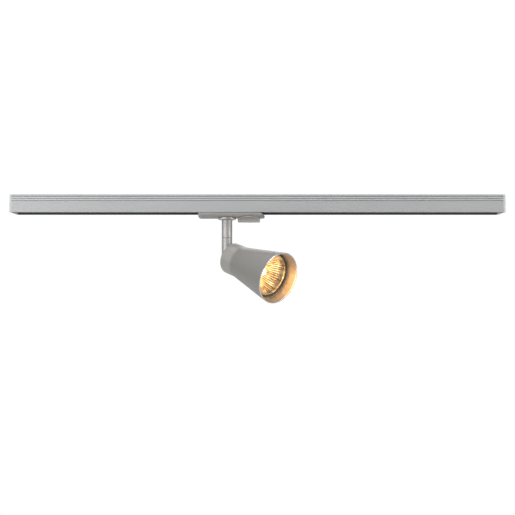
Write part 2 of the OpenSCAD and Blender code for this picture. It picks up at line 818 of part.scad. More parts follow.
module holder_contacts() {
    color(brass) on_head() for (turn = [0, 180]) rotate([0, 0, turn]) rotate_extrude(angle = 50)
        translate([pin_circle_r - 2, holder_z + 7.1]) square([4, 0.5]);
}

module holder_screws() {
    color(steel) on_head() for (side = [-1, 1]) translate([side * holder_screw_x, 0, 0]) {
        rod(2.1, plate_z - 0.9, plate_z);
        rod(1.2, plate_z, holder_z + 5.5);
    }
}

module cable_grommet() {
    color(black_plastic) on_head() translate([-cable_off, 0, 0]) {
        tube(1.95, cable_r + 0.05, 0, rear_wall_t);
        tube(2.3, cable_r + 0.05, rear_wall_t, rear_wall_t + 0.5);
    }
}

// Sheathed end of the cable inside the head and its two bare leads into the holder
module lamp_leads() {
    color(silicone) on_head() translate([-cable_off, 0, 0]) {
        rod(cable_r, 0, rear_wall_t + 1.1);
        for (side = [-1, 1]) translate([0, side * 0.7, 0]) rod(0.45, rear_wall_t + 1, holder_z + 2.8);
    }
}

// ---------- lamp ----------

// Radius of the bowl's outside, a parabola from the neck to the rim band
function bowl_r(s) = sqrt(bowl_neck_r * bowl_neck_r
    + (lamp_r * lamp_r - bowl_neck_r * bowl_neck_r) * (s - bowl_back) / (bowl_front - bowl_back));

function bowl_points(offset, from, to, steps = 14) =
    [for (i = [0:steps]) let (s = from + (to - from) * i / steps) [bowl_r(s) - offset, s]];

module lamp_base() {
    color(ceramic) on_head() difference() {
        rotate_extrude() polygon([
            [0, lamp_back], [8.8, lamp_back], [9.4, lamp_back + 0.6], [9.4, lamp_back + 5],
            [10.4, lamp_back + 6], [10.4, lamp_back + 9], [bowl_neck_r, bowl_back - 1.2],
            [bowl_neck_r, bowl_back], [0, bowl_back]
        ]);
        translate([-4.3, -1.7, bowl_back - 4.8]) cube([8.6, 3.4, 6]);
    }
}

module lamp_pins() {
    head_len_of_pin = 3.4;
    neck_start = holder_face - keyway_t - 0.2;
    color(steel) on_head() for (side = [-1, 1]) translate([side * pin_circle_r, 0, 0]) {
        rod(1.55, neck_start - 0.1, lamp_back);
        rod(2.45, neck_start - head_len_of_pin, neck_start);
    }
}

module lamp_reflector() {
    seat_z = lamp_front - 0.7 - glass_t;
    color(dichroic) on_head() rotate_extrude() polygon(concat(
        [[5.6, bowl_back]],
        bowl_points(0, bowl_back, bowl_front),
        [[lamp_r, lamp_front - 0.5], [lamp_r - 0.5, lamp_front], [lamp_r - 1.3, lamp_front],
         [lamp_r - 1.3, seat_z], [lamp_r - 2.2, seat_z]],
        [for (i = [14:-1:0]) bowl_points(bowl_t, bowl_back + 1.6, bowl_front - 1)[i]],
        [[5.6, bowl_back + 1.6]]
    ));
}

module lamp_front_glass() {
    seat_z = lamp_front - 0.7 - glass_t;
    color(glass) on_head() rotate_extrude() polygon([
        [0, seat_z], [lamp_r - 1.35, seat_z], [lamp_r - 1.35, seat_z + glass_t - 0.3],
        [lamp_r - 1.8, seat_z + glass_t], [0, seat_z + glass_t]
    ]);
}

// Quartz capsule: a round envelope on a flat pinch that is set in the base
module lamp_capsule() {
    r = 4.6;
    wall = 0.8;
    bulb_z = bowl_back + 9;
    bulb_len = 12;
    color(glass) on_head() {
        difference() {
            union() {
                rod(r, bulb_z, bulb_z + bulb_len);
                translate([0, 0, bulb_z + bulb_len]) sphere(r = r);
            }
            rod(r - wall, bulb_z + wall, bulb_z + bulb_len);
            translate([0, 0, bulb_z + bulb_len]) sphere(r = r - wall);
        }
        translate([-4.2, -1.6, bowl_back - 4.7]) cube([8.4, 3.2, bulb_z - bowl_back + 4.7]);
    }
}

module lamp_filament() {
    color(steel) on_head() translate([0, 0, bowl_back + 14]) tube(1.1, 0.6, 0, 6);
}

track_profile();
insulator(true);  // insulator_front
insulator(false);  // insulator_rear
slot_liner(true);  // slot_liner_front
slot_liner(false);  // slot_liner_rear
conductor(true);  // conductor_line
conductor(false);  // conductor_neutral
earth_strip();
mirror([1, 0, 0]) end_cap();  // end_cap_left
end_cap();  // end_cap_right
end_cap_screws();
adapter_body();
adapter_lid();
adapter_cover();
adapter_screws();
earth_spring();
terminal_block();
terminal_screws();
collar();
stem_nut();
stem_nipple();
stem_upper();
swivel_pin();
cable_upper();
lock_rotor();
contact_arms();
lock_lever();
lever_screw();
stem_lower();
swivel_washer();
swivel_spring();
hinge_tongue();
tongue_screw();
cable_lower();
cable_flex();
head_shell();
hinge_bracket();
friction_washers();
pivot_screw();
rear_screws();
holder_plate();
lamp_holder();
holder_contacts();
holder_screws();
cable_grommet();
lamp_leads();
lamp_base();
lamp_pins();
lamp_reflector();
lamp_front_glass();
lamp_capsule();
lamp_filament();
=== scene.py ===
import json
import math

import bmesh
import bpy
from mathutils import Matrix, Vector


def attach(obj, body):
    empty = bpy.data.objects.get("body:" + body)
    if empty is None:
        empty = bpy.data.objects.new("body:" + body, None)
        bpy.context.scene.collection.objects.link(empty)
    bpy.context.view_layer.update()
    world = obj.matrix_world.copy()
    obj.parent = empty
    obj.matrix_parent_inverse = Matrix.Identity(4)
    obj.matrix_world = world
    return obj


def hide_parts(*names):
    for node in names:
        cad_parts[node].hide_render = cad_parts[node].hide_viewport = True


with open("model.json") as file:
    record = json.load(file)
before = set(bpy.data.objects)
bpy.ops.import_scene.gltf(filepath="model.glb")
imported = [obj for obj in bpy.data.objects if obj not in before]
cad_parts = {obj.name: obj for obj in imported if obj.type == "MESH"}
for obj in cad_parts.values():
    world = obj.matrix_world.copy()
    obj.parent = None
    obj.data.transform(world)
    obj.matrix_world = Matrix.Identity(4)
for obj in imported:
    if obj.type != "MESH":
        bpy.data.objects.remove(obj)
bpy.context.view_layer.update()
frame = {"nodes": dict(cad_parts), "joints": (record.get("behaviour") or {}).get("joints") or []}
nodes = frame["nodes"]
joints = {j["name"]: j for j in frame["joints"]}

# The head's axis, the tilt pivot and the swivel, from the record's joints
tilt = joints["head_tilt"]
twist = joints["lamp_twist"]
pivot = Vector(tilt["pos_m"])
head_axis = Vector(twist["axis"]).normalized()
tilt_axis = Vector(tilt["axis"]).normalized()
swivel_centre = Vector(joints["head_pan"]["pos_m"])

# Frame of the head: +Z along its axis from the tilt pivot, +Y along the tilt axis, +X below
below = tilt_axis.cross(head_axis).normalized()
HEAD = Matrix((
    (below.x, tilt_axis.x, head_axis.x, pivot.x),
    (below.y, tilt_axis.y, head_axis.y, pivot.y),
    (below.z, tilt_axis.z, head_axis.z, pivot.z),
    (0, 0, 0, 1),
))

# Places along and across the head and the track, which the paints look up
PIVOT_BACK = 0.0089
HEAD_LEN = 0.083
DRUM_END = PIVOT_BACK + 0.017
RIM_FACE = PIVOT_BACK + HEAD_LEN
RIM_R = 0.0312
TRACK_HALF_W = 0.0175
FIRST_GROOVE_Z = -0.0028
LAST_GROOVE_Z = -0.0077
GROOVE_DEPTH = 0.0009
# Half width of the adapter body's middle, which is coloured as painted shade
FLANGE_SHADED_CORE = 0.0119

# Colours that a mask lays over a base colour: a painted highlight on the head's rim face, a painted shade
# line round the rim's outer edge, and painted shade on the adapter body's middle
RIM_HIGHLIGHT = (0.60, 0.585, 0.565)
RIM_OUTLINE_SHADE = (0.20, 0.19, 0.18)
CORE_SHADE = (0.02, 0.02, 0.02)

# Pointiness at which worn edges start and are fully worn
EDGE_STARTS = 0.53
EDGE_FULL = 0.62


# ---------- node helpers ----------

class Mat:
    """A material with short calls for adding and linking its nodes."""

    SOCKETS = {
        "color": "Base Color", "metallic": "Metallic", "rough": "Roughness", "spec": "Specular IOR Level",
        "emit": "Emission Color", "power": "Emission Strength", "alpha": "Alpha", "normal": "Normal",
    }

    def __init__(self, name):
        self.material = bpy.data.materials.new(name)
        self.material.use_nodes = True
        self.tree = self.material.node_tree
        self.tree.nodes.clear()
        self.out = self.tree.nodes.new("ShaderNodeOutputMaterial")
        self.coord = self.tree.nodes.new("ShaderNodeTexCoord")
        self.bsdf = self.tree.nodes.new("ShaderNodeBsdfPrincipled")
        self.link(self.bsdf.outputs[0], self.out.inputs["Surface"])

    def link(self, a, b):
        self.tree.links.new(a, b)

    def put(self, socket, value):
        if isinstance(value, bpy.types.NodeSocket):
            self.link(value, socket)
        else:
            socket.default_value = value

    def set(self, **values):
        for key, value in values.items():
            if isinstance(value, tuple):
                value = (*value, 1)
            self.put(self.bsdf.inputs[self.SOCKETS[key]], value)

    def mapping(self, scale=(1, 1, 1)):
        """Object coordinates, scaled."""
        n = self.tree.nodes.new("ShaderNodeMapping")
        n.inputs["Scale"].default_value = scale
        self.link(self.coord.outputs["Object"], n.inputs["Vector"])
        return n.outputs[0]

    def axis_mapping(self, matrix):
        """Object coordinates seen from a frame of their own."""
        inverse = matrix.inverted()
        n = self.tree.nodes.new("ShaderNodeMapping")
        n.inputs["Rotation"].default_value = inverse.to_euler("XYZ")
        n.inputs["Location"].default_value = inverse.translation
        self.link(self.coord.outputs["Object"], n.inputs["Vector"])
        return n.outputs[0]

    def noise(self, vector, scale, detail=4.0, rough=0.55, distortion=0.0):
        n = self.tree.nodes.new("ShaderNodeTexNoise")
        n.inputs["Scale"].default_value = scale
        n.inputs["Detail"].default_value = detail
        n.inputs["Roughness"].default_value = rough
        n.inputs["Distortion"].default_value = distortion
        self.link(vector, n.inputs["Vector"])
        return n.outputs[0]

    def cells(self, vector, scale):
        """A random value for each of many small cells."""
        n = self.tree.nodes.new("ShaderNodeTexVoronoi")
        n.inputs["Scale"].default_value = scale
        self.link(vector, n.inputs["Vector"])
        return self.xyz(n.outputs["Color"])[0]

    def ramp(self, factor, *stops):
        """Colours or grey values at given places of a factor."""
        n = self.tree.nodes.new("ShaderNodeValToRGB")
        elements = n.color_ramp.elements
        while len(elements) < len(stops):
            elements.new(0.5)
        for element, (place, colour) in zip(elements, stops):
            grey = isinstance(colour, (int, float))
            element.position = place
            element.color = (colour, colour, colour, 1) if grey else (*colour, 1)
        self.put(n.inputs[0], factor)
        return n.outputs[0]

    def math(self, operation, a, b=0.0):
        n = self.tree.nodes.new("ShaderNodeMath")
        n.operation = operation
        self.put(n.inputs[0], a)
        self.put(n.inputs[1], b)
        return n.outputs[0]

    def distance(self, x, y):
        """Distance from an axis, from the two coordinates across it."""
        squares = self.math("ADD", self.math("MULTIPLY", x, x), self.math("MULTIPLY", y, y))
        return self.math("SQRT", squares)

    def map_range(self, value, a, b, low, high):
        n = self.tree.nodes.new("ShaderNodeMapRange")
        self.put(n.inputs["Value"], value)
        n.inputs["From Min"].default_value = a
        n.inputs["From Max"].default_value = b
        n.inputs["To Min"].default_value = low
        n.inputs["To Max"].default_value = high
        return n.outputs[0]

    def mix(self, factor, a, b):
        """Colour a where the factor is 0, and b where it is 1."""
        n = self.tree.nodes.new("ShaderNodeMix")
        n.data_type = "RGBA"
        self.put(n.inputs[0], factor)
        self.put(n.inputs[6], (*a, 1) if isinstance(a, tuple) else a)
        self.put(n.inputs[7], (*b, 1) if isinstance(b, tuple) else b)
        return n.outputs[2]

    def bump(self, height, strength, distance, normal=None):
        n = self.tree.nodes.new("ShaderNodeBump")
        n.inputs["Strength"].default_value = strength
        n.inputs["Distance"].default_value = distance
        self.link(height, n.inputs["Height"])
        if normal is not None:
            self.link(normal, n.inputs["Normal"])
        return n.outputs[0]

    def xyz(self, vector):
        n = self.tree.nodes.new("ShaderNodeSeparateXYZ")
        self.link(vector, n.inputs[0])
        return n.outputs

    def combine(self, x, y, z):
        n = self.tree.nodes.new("ShaderNodeCombineXYZ")
        for socket, value in zip(n.inputs, (x, y, z)):
            self.put(socket, value)
        return n.outputs[0]

    def edge(self):
        """1 on convex edges, from pointiness."""
        g = self.tree.nodes.new("ShaderNodeNewGeometry")
        return self.map_range(g.outputs["Pointiness"], EDGE_STARTS, EDGE_FULL, 0.0, 1.0)


def toned(color, factor, lift=0.0):
    """A colour made lighter or darker, with no channel over 1."""
    return tuple(min(1, c * factor + lift) for c in color)


def paint(node_names, material):
    for name in node_names:
        data = nodes[name].data
        data.materials.clear()
        data.materials.append(material)


# ---------- materials ----------

def satin_aluminium(name, color, rough):
    """Painted extrusion: long fine die lines, flakes, faint cloudiness, painted shade in the grooves and a
    painted highlight on the lands between them.
    """
    m = Mat(name)
    lines = m.noise(m.mapping((2.0, 900, 900)), 1.0, 3, 0.6)
    flake = m.noise(m.mapping(), 4200, 2, 0.7)
    cloud = m.noise(m.mapping((1.6, 9, 9)), 3.0, 5, 0.6)
    base = m.mix(m.math("MULTIPLY", lines, 0.5), color, toned(color, 0.90))
    base = m.mix(m.map_range(cloud, 0.35, 0.7, 0.0, 0.5), base, toned(color, 1.08))
    base = m.mix(m.map_range(flake, 0.58, 0.75, 0.0, 0.10), base, toned(color, 1.25))
    place = m.xyz(m.mapping())
    # Painted shade darkens the grooves' recesses, and a painted highlight lightens the lands between them
    depth = m.math("SUBTRACT", TRACK_HALF_W, m.math("ABSOLUTE", place[1]))
    groove_shade = m.math("MULTIPLY", m.map_range(depth, 0.0001, 0.0004, 0.0, 0.36),
                    m.math("LESS_THAN", depth, GROOVE_DEPTH))
    grooved = m.math("MULTIPLY", m.math("LESS_THAN", place[2], FIRST_GROOVE_Z),
                     m.math("GREATER_THAN", place[2], LAST_GROOVE_Z))
    land_highlight = m.math("MULTIPLY", m.math("LESS_THAN", depth, 0.0001), grooved)
    base = m.mix(groove_shade, base, toned(color, 0.4))
    base = m.mix(m.math("MULTIPLY", land_highlight, 0.55), base, toned(color, 1.45))
    roughness = m.math("ADD", m.map_range(lines, 0.3, 0.7, rough - 0.05, rough + 0.05),
                       m.map_range(cloud, 0.3, 0.7, -0.03, 0.04))
    normal = m.bump(lines, 0.06, 0.00003)
    normal = m.bump(flake, 0.02, 0.00002, normal)
    m.set(color=base, metallic=0.35, rough=roughness, spec=0.5, normal=normal)
    return m.material


def silver_paint(name, color, rough=0.42, metallic=0.45):
    """Satin metallic paint: flakes, slight orange peel, worn edges, a painted highlight on the drum, and a
    metal rim face with a painted highlight and a painted shade line round its outer edge.
    """
    m = Mat(name)
    x, y, along = m.xyz(m.axis_mapping(HEAD))
    radius = m.distance(x, y)
    # Painted highlight: the drum is lightened, fading out where the cone begins
    drum_highlight = m.map_range(along, DRUM_END - 0.002, DRUM_END + 0.004, 0.55, 0.0)
    flake = m.cells(m.mapping(), 5200)
    peel = m.noise(m.mapping(), 620, 3, 0.5)
    cloud = m.noise(m.mapping(), 42, 4, 0.55)
    base = m.mix(drum_highlight, color, toned(color, 1.5))
    base = m.mix(m.map_range(flake, 0.55, 1.0, 0.0, 0.12), base, toned(color, 1.35))
    base = m.mix(m.map_range(cloud, 0.35, 0.7, 0.0, 0.25), base, toned(color, 0.95))
    base = m.mix(m.math("MULTIPLY", m.edge(), 0.35), base, toned(color, 1.5))
    # The rim face is made metal and smoother, and coloured as a painted highlight; a painted shade line runs
    # round its outer edge
    rim = m.map_range(along, RIM_FACE - 0.0012, RIM_FACE - 0.0008, 0.0, 1.0)
    outer = m.map_range(radius, RIM_R - 0.0003, RIM_R - 0.0001, 0.0, 1.0)
    base = m.mix(rim, base, m.mix(outer, RIM_HIGHLIGHT, RIM_OUTLINE_SHADE))
    metallic = m.math("MAXIMUM", rim, metallic)
    roughness = m.math("ADD", m.map_range(flake, 0.0, 1.0, rough - 0.03, rough + 0.03),
                       m.map_range(cloud, 0.3, 0.7, -0.03, 0.05))
    roughness = m.math("SUBTRACT", roughness, m.math("MULTIPLY", rim, 0.12))
    normal = m.bump(peel, 0.05, 0.00006)
    normal = m.bump(flake, 0.012, 0.00002, normal)
    m.set(color=base, metallic=metallic, rough=roughness, normal=normal)
    m.bsdf.inputs["Coat Weight"].default_value = 0.12
    m.bsdf.inputs["Coat Roughness"].default_value = 0.25
    return m.material


def turned_metal(name, color, matrix, rough, metallic=1.0):
    """Metal turned or brushed round an axis: fine rings along it, with smudges."""
    m = Mat(name)
    x, y, z = m.xyz(m.axis_mapping(matrix))
    across = m.math("MULTIPLY", m.distance(x, y), 30)
    along = m.math("MULTIPLY", z, 4200)
    rings = m.noise(m.combine(across, 0.0, along), 1.0, 3, 0.6)
    smudge = m.noise(m.mapping(), 90, 3, 0.5)
    base = m.mix(m.math("MULTIPLY", rings, 0.6), color, toned(color, 0.86))
    base = m.mix(m.map_range(smudge, 0.4, 0.75, 0.0, 0.3), base, toned(color, 0.92))
    roughness = m.math("ADD", m.map_range(rings, 0.3, 0.7, rough - 0.06, rough + 0.07),
                       m.map_range(smudge, 0.35, 0.7, -0.03, 0.05))
    normal = m.bump(rings, 0.10, 0.00001)
    m.set(color=base, metallic=metallic, rough=roughness, normal=normal)
    return m.material


def moulded_plastic(name, color, rough=0.45, spark=0.0, shaded_core=0.0):
    """Moulded plastic: spark-eroded texture, faint flow marks, scuffed edges, and painted shade over the
    middle band when a core half width is given.
    """
    m = Mat(name)
    grain = m.noise(m.mapping(), 2600, 3, 0.6)
    flow = m.noise(m.mapping((0.5, 2, 2)), 60, 3, 0.5, 0.6)
    wear = m.map_range(m.noise(m.mapping(), 420, 4, 0.7), 0.4, 0.65, 0.0, 1.0)
    scuff = m.math("MULTIPLY", m.edge(), wear)
    base = m.mix(m.map_range(flow, 0.3, 0.7, 0.0, 0.35), color, toned(color, 0.9))
    base = m.mix(m.math("MULTIPLY", scuff, 0.3), base, toned(color, 1.35, 0.02))
    base = m.mix(m.map_range(grain, 0.5, 0.7, 0.0, spark), base, toned(color, 1.3))
    # Painted shade: within the core's half width the part is made near black
    if shaded_core:
        offset = m.math("ABSOLUTE", m.xyz(m.mapping())[1])
        base = m.mix(m.math("LESS_THAN", offset, shaded_core), base, CORE_SHADE)
    roughness = m.math("ADD", m.map_range(grain, 0.3, 0.7, rough - 0.05, rough + 0.07),
                       m.map_range(flow, 0.3, 0.7, -0.03, 0.03))
    m.set(color=base, rough=roughness, metallic=0.0, normal=m.bump(grain, 0.15, 0.00005))
    return m.material


def plain_metal(name, color, rough):
    """Plated or drawn metal with fine scratches and dulled patches."""
    m = Mat(name)
    scratch = m.noise(m.mapping((1, 8, 1)), 900, 4, 0.7, 0.4)
    patch = m.noise(m.mapping(), 260, 3, 0.5)
    base = m.mix(m.map_range(patch, 0.35, 0.7, 0.0, 0.5), color, toned(color, 0.82))
    m.set(color=base, metallic=1.0, rough=m.map_range(scratch, 0.3, 0.7, rough - 0.07, rough + 0.1),
          normal=m.bump(scratch, 0.12, 0.00003))
    return m.material


def glazed_ceramic(name, color):
    """Pressed ceramic with a fine grain and faint stains."""
    m = Mat(name)
    grain = m.noise(m.mapping(), 1900, 4, 0.6)
    stain = m.noise(m.mapping(), 90, 4, 0.6)
    base = m.mix(m.map_range(stain, 0.4, 0.75, 0.0, 0.5), color, toned(color, 0.88))
    m.set(color=base, rough=m.map_range(grain, 0.3, 0.7, 0.42, 0.6), normal=m.bump(grain, 0.2, 0.00005))
    return m.material


def silicone_cable(name, color):
    """Matt cable skin with a fine grain."""
    m = Mat(name)
    skin = m.noise(m.mapping(), 1500, 3, 0.6)
    m.set(color=m.mix(skin, color, toned(color, 0.7)), rough=m.map_range(skin, 0.3, 0.7, 0.5, 0.65),
          normal=m.bump(skin, 0.15, 0.00004))
    return m.material


def reflector_coat(name):
    """Mirror-coated bowl with painted reflection streaks out from the axis, and emission as a painted
    reflection of the lit capsule, brightest near the capsule.
    """
    m = Mat(name)
    p = m.axis_mapping(HEAD)
    x, y, z = m.xyz(p)
    radius = m.distance(x, y)
    spoke = m.combine(m.math("DIVIDE", x, radius), m.math("DIVIDE", y, radius),
                      m.math("MULTIPLY", radius, 55))
    # Painted reflections: streaks out from the axis switch between light and dark colours
    streak_reflection = m.map_range(m.noise(spoke, 4.2, 3, 0.6), 0.38, 0.58, 0.0, 1.0)
    glow_patches = m.noise(p, 95, 3, 0.5)
    tone = m.map_range(radius, 0.008, 0.0245, 0.0, 1.0)
    reflection_bright = m.ramp(tone, (0.0, (0.95, 0.66, 0.28)), (0.5, (0.90, 0.66, 0.38)), (1.0, (0.80, 0.68, 0.42)))
    reflection_dark = m.ramp(tone, (0.0, (0.90, 0.50, 0.14)), (0.5, (0.46, 0.22, 0.06)), (1.0, (0.26, 0.15, 0.06)))
    color = m.mix(streak_reflection, reflection_dark, reflection_bright)
    # Emission paints the reflection of the lit capsule, strongest near the axis and faint towards the rim
    glow = m.ramp(tone, (0.0, (1.0, 0.96, 0.86)), (0.4, (1.0, 0.62, 0.25)), (1.0, (0.85, 0.66, 0.36)))
    falloff = m.ramp(tone, (0.0, 1.0), (0.18, 0.62), (0.34, 0.10), (0.6, 0.04), (1.0, 0.024))
    power = m.math("MULTIPLY", falloff, 3.8)
    power = m.math("MULTIPLY", power, m.map_range(streak_reflection, 0.0, 1.0, 0.6, 1.5))
    power = m.math("MULTIPLY", power, m.map_range(glow_patches, 0.35, 0.65, 0.75, 1.25))
    m.set(color=color, metallic=1.0, rough=m.map_range(streak_reflection, 0.0, 1.0, 0.16, 0.07), emit=glow, power=power,
          normal=m.bump(streak_reflection, 0.06, 0.00005))
    return m.material


def thin_glass(name, tint, body=0.04, edge=0.4, rough=0.05):
    """Clear thin glass: nearly all light passes, more is reflected at a glancing angle."""
    m = Mat(name)
    ripple = m.noise(m.mapping(), 240, 3, 0.5)
    dust = m.noise(m.mapping(), 900, 4, 0.6)
    facing = m.tree.nodes.new("ShaderNodeLayerWeight")
    facing.inputs["Blend"].default_value = 0.3
    seen = m.map_range(facing.outputs["Facing"], 0.55, 1.0, body, edge)
    seen = m.math("ADD", seen, m.map_range(dust, 0.55, 0.8, 0.0, 0.03))
    m.set(color=tint, rough=m.map_range(dust, 0.3, 0.7, rough, rough + 0.05), alpha=seen,
          normal=m.bump(ripple, 0.08, 0.0002))
    return m.material


def glowing(name, color, power):
    """Something lit from within, a little uneven."""
    m = Mat(name)
    turns = m.noise(m.mapping(), 900, 2, 0.5)
    m.set(color=color, rough=0.5, emit=color, power=m.map_range(turns, 0.3, 0.7, power * 0.8, power * 1.2))
    return m.material


stem_frame = Matrix.Translation(swivel_centre)

track_paint = satin_aluminium("track_paint", (0.358, 0.364, 0.366), rough=0.46)
cap_plastic = moulded_plastic("cap_plastic", (0.42, 0.425, 0.43), 0.4, 0.25)
adapter_plastic = moulded_plastic("adapter_plastic", (0.36, 0.35, 0.335), 0.42, 0.2)
# A darker copy of the adapter body's plastic: painted shade on the cover under the flange
cover_plastic_shaded = moulded_plastic("cover_plastic_shaded", (0.195, 0.186, 0.178), 0.42, 0.2)
flange_plastic = moulded_plastic("flange_plastic", (0.27, 0.262, 0.252), 0.42, 0.2, shaded_core=FLANGE_SHADED_CORE)
insulator = moulded_plastic("insulator", (0.045, 0.045, 0.047), 0.5)
black_plastic = moulded_plastic("black_plastic", (0.03, 0.03, 0.031), 0.45)
head_paint = silver_paint("head_paint", (0.262, 0.252, 0.238))
stem_metal = turned_metal("stem_metal", (0.365, 0.36, 0.345), stem_frame, 0.48, 0.5)
collar_metal = turned_metal("collar_metal", (0.46, 0.45, 0.43), stem_frame, 0.34, 0.7)
bracket_metal = plain_metal("bracket_metal", (0.50, 0.49, 0.47), 0.36)
copper = plain_metal("copper", (0.78, 0.44, 0.28), 0.32)
zinc = plain_metal("zinc", (0.56, 0.57, 0.60), 0.3)
brass = turned_metal("brass", (0.78, 0.60, 0.30), stem_frame, 0.28)
ceramic = glazed_ceramic("ceramic", (0.80, 0.77, 0.70))
cable_skin = silicone_cable("cable_skin", (0.10, 0.10, 0.10))
# The reflector's material, with painted reflection streaks and a painted glow of the capsule's reflection
mirror_coat = reflector_coat("reflector_coat")
front_glass = thin_glass("front_glass", (0.9, 0.9, 0.86))
capsule_glass = glowing("capsule_glass", (1.0, 0.84, 0.58), 2.6)
filament_glow = glowing("filament_glow", (1.0, 0.80, 0.50), 30.0)

paint(["track_profile"], track_paint)
paint(["end_cap_left", "end_cap_right"], cap_plastic)
paint(["insulator_front", "insulator_rear", "slot_liner_front", "slot_liner_rear"], insulator)
paint(["conductor_line", "conductor_neutral", "earth_strip", "earth_spring", "contact_arms"], copper)
paint(["adapter_body"], flange_plastic)
paint(["adapter_cover"], cover_plastic_shaded)
paint(["lock_lever"], adapter_plastic)
paint(["end_cap_screws", "adapter_screws", "stem_nut", "lever_screw", "swivel_spring", "tongue_screw",
       "pivot_screw", "rear_screws", "holder_plate", "holder_screws", "lamp_pins"], zinc)
paint(["stem_nipple", "swivel_pin", "terminal_screws", "holder_contacts"], brass)
paint(["collar"], collar_metal)
paint(["stem_upper", "stem_lower"], stem_metal)
paint(["hinge_tongue", "hinge_bracket"], bracket_metal)
paint(["adapter_lid", "lock_rotor", "swivel_washer", "friction_washers", "cable_grommet"], black_plastic)
paint(["terminal_block", "lamp_holder", "lamp_base"], ceramic)
paint(["cable_upper", "cable_lower", "cable_flex", "lamp_leads"], cable_skin)
paint(["head_shell"], head_paint)
paint(["lamp_reflector"], mirror_coat)


# ---------- facetted reflector, in place of the plain bowl ----------

def in_head(name):
    """A node's points as (radius, place along the head's axis)."""
    to_head = HEAD.inverted() @ nodes[name].matrix_world
    points = [to_head @ v.co for v in nodes[name].data.vertices]
    return [(math.hypot(q.x, q.y), q.z) for q in points]


bowl_points = in_head("lamp_reflector")
glass_points = in_head("lamp_front_glass")
BOWL_R = max(r for r, z in bowl_points)
BOWL_FRONT = max(z for r, z in bowl_points)
BOWL_BACK = min(z for r, z in bowl_points)
GLASS_R = max(r for r, z in glass_points)
GLASS_BACK = min(z for r, z in glass_points)
LAMP_FACE = max(z for r, z in glass_points)
NECK_R = 0.013
THROAT_R = 0.0056
RIM_BAND = 0.0038
WALL = 0.0016
BACK_WALL = WALL + 0.0006
BACK_CHAMFER = 0.0004
RIM_ROUND = 0.0005
LIP_CHAMFER = 0.0002
GLASS_PLAY = 0.00005
SEAT_W = 0.0023
SEAT_GAP = 0.0004
THROAT_STEP = 0.0002
OUTSIDE_RINGS = 14

# Facets: how many, the steps across each, how far they stand out, and how rows widen to the front
COLUMNS = 50
ROWS = 4
FINE = 4
AROUND = COLUMNS * FINE
FACET_RISE = 0.00045
FACET_FADE = 0.6
ROW_SPREAD = 1.15


def bowl_radius(z):
    """Outer radius of the parabola at a place along the axis."""
    band = BOWL_FRONT - RIM_BAND
    return math.sqrt(NECK_R ** 2 + (BOWL_R ** 2 - NECK_R ** 2) * (z - BOWL_BACK) / (band - BOWL_BACK))


def bowl_rings(bm):
    """Rings of points out of the throat, round the rim and back in, and the first one with facets."""
    z0 = BOWL_BACK + BACK_WALL
    z1 = GLASS_BACK - SEAT_GAP
    rings = []

    def ring(profile):
        row = []
        for i in range(AROUND):
            r, z = profile(i)
            angle = 2 * math.pi * i / AROUND
            row.append(bm.verts.new((r * math.cos(angle), r * math.sin(angle), z)))
        rings.append(row)

    def plain(r, z):
        ring(lambda i: (r, z))

    plain(THROAT_R, BOWL_BACK)
    plain(NECK_R - BACK_CHAMFER, BOWL_BACK)
    for k in range(OUTSIDE_RINGS + 1):
        rise = (BOWL_FRONT - RIM_BAND - BOWL_BACK - BACK_CHAMFER) * k / OUTSIDE_RINGS
        z = BOWL_BACK + BACK_CHAMFER + rise
        plain(bowl_radius(z), z)
    plain(BOWL_R, BOWL_FRONT - RIM_ROUND)
    plain(BOWL_R - 0.4 * RIM_ROUND, BOWL_FRONT - 0.3 * RIM_ROUND)
    plain(BOWL_R - RIM_ROUND, BOWL_FRONT)
    plain(GLASS_R + LIP_CHAMFER, BOWL_FRONT)
    plain(GLASS_R + GLASS_PLAY, BOWL_FRONT - LIP_CHAMFER)
    plain(GLASS_R + GLASS_PLAY, GLASS_BACK - GLASS_PLAY)
    plain(BOWL_R - SEAT_W, GLASS_BACK - GLASS_PLAY)
    first_facet = len(rings)
    for k in range(ROWS * FINE, -1, -1):
        z = z0 + (z1 - z0) * (k / (ROWS * FINE)) ** ROW_SPREAD
        inside = bowl_radius(min(z, BOWL_FRONT - RIM_BAND)) - WALL
        v = 2 * ((k % FINE) / FINE) - 1

        def pillow(i, z=z, inside=inside, v=v):
            u = 2 * ((i % FINE) / FINE) - 1
            lift = FACET_RISE * (1 - u * u) * (1 - FACET_FADE * v * v) if i % FINE else 0.0
            return inside - lift, z
        ring(pillow)
    plain(THROAT_R, z0 - THROAT_STEP)
    return rings, first_facet


def crisp_edges(rings, first_facet):
    """Edges between facets, and those of the rim, the seat and the back."""
    crisp = set()
    for k, row in enumerate(rings[first_facet:first_facet + ROWS * FINE + 1]):
        for i, vert in enumerate(row):
            for edge in vert.link_edges:
                along_ring = edge.other_vert(vert) in row
                if (along_ring and k % FINE == 0) or (not along_ring and i % FINE == 0):
                    crisp.add(edge)
    for n in (0, 1, OUTSIDE_RINGS + 2, *range(first_facet - 5, first_facet)):
        row = set(rings[n])
        crisp.update(e for v in rings[n] for e in v.link_edges if e.other_vert(v) in row)
    return crisp


def facetted_bowl():
    """Bowl with pillow-shaped facets inside, a plain outside, a moulded rim and a seat for the glass."""
    bm = bmesh.new()
    rings, first_facet = bowl_rings(bm)
    rings.append(rings[0])
    for a, b in zip(rings, rings[1:]):
        for i in range(AROUND):
            j = (i + 1) % AROUND
            face = bm.faces.new((a[i], a[j], b[j], b[i]))
            face.smooth = True
    bm.normal_update()
    for edge in crisp_edges(rings, first_facet):
        edge.smooth = False
    bmesh.ops.recalc_face_normals(bm, faces=bm.faces)
    data = bpy.data.meshes.new("facetted_reflector")
    bm.to_mesh(data)
    bm.free()
    data.transform(HEAD)
    piece = bpy.data.objects.new("facetted_reflector", data)
    bpy.context.scene.collection.objects.link(piece)
    data.materials.append(mirror_coat)
    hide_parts("lamp_reflector")
    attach(piece, "lamp")


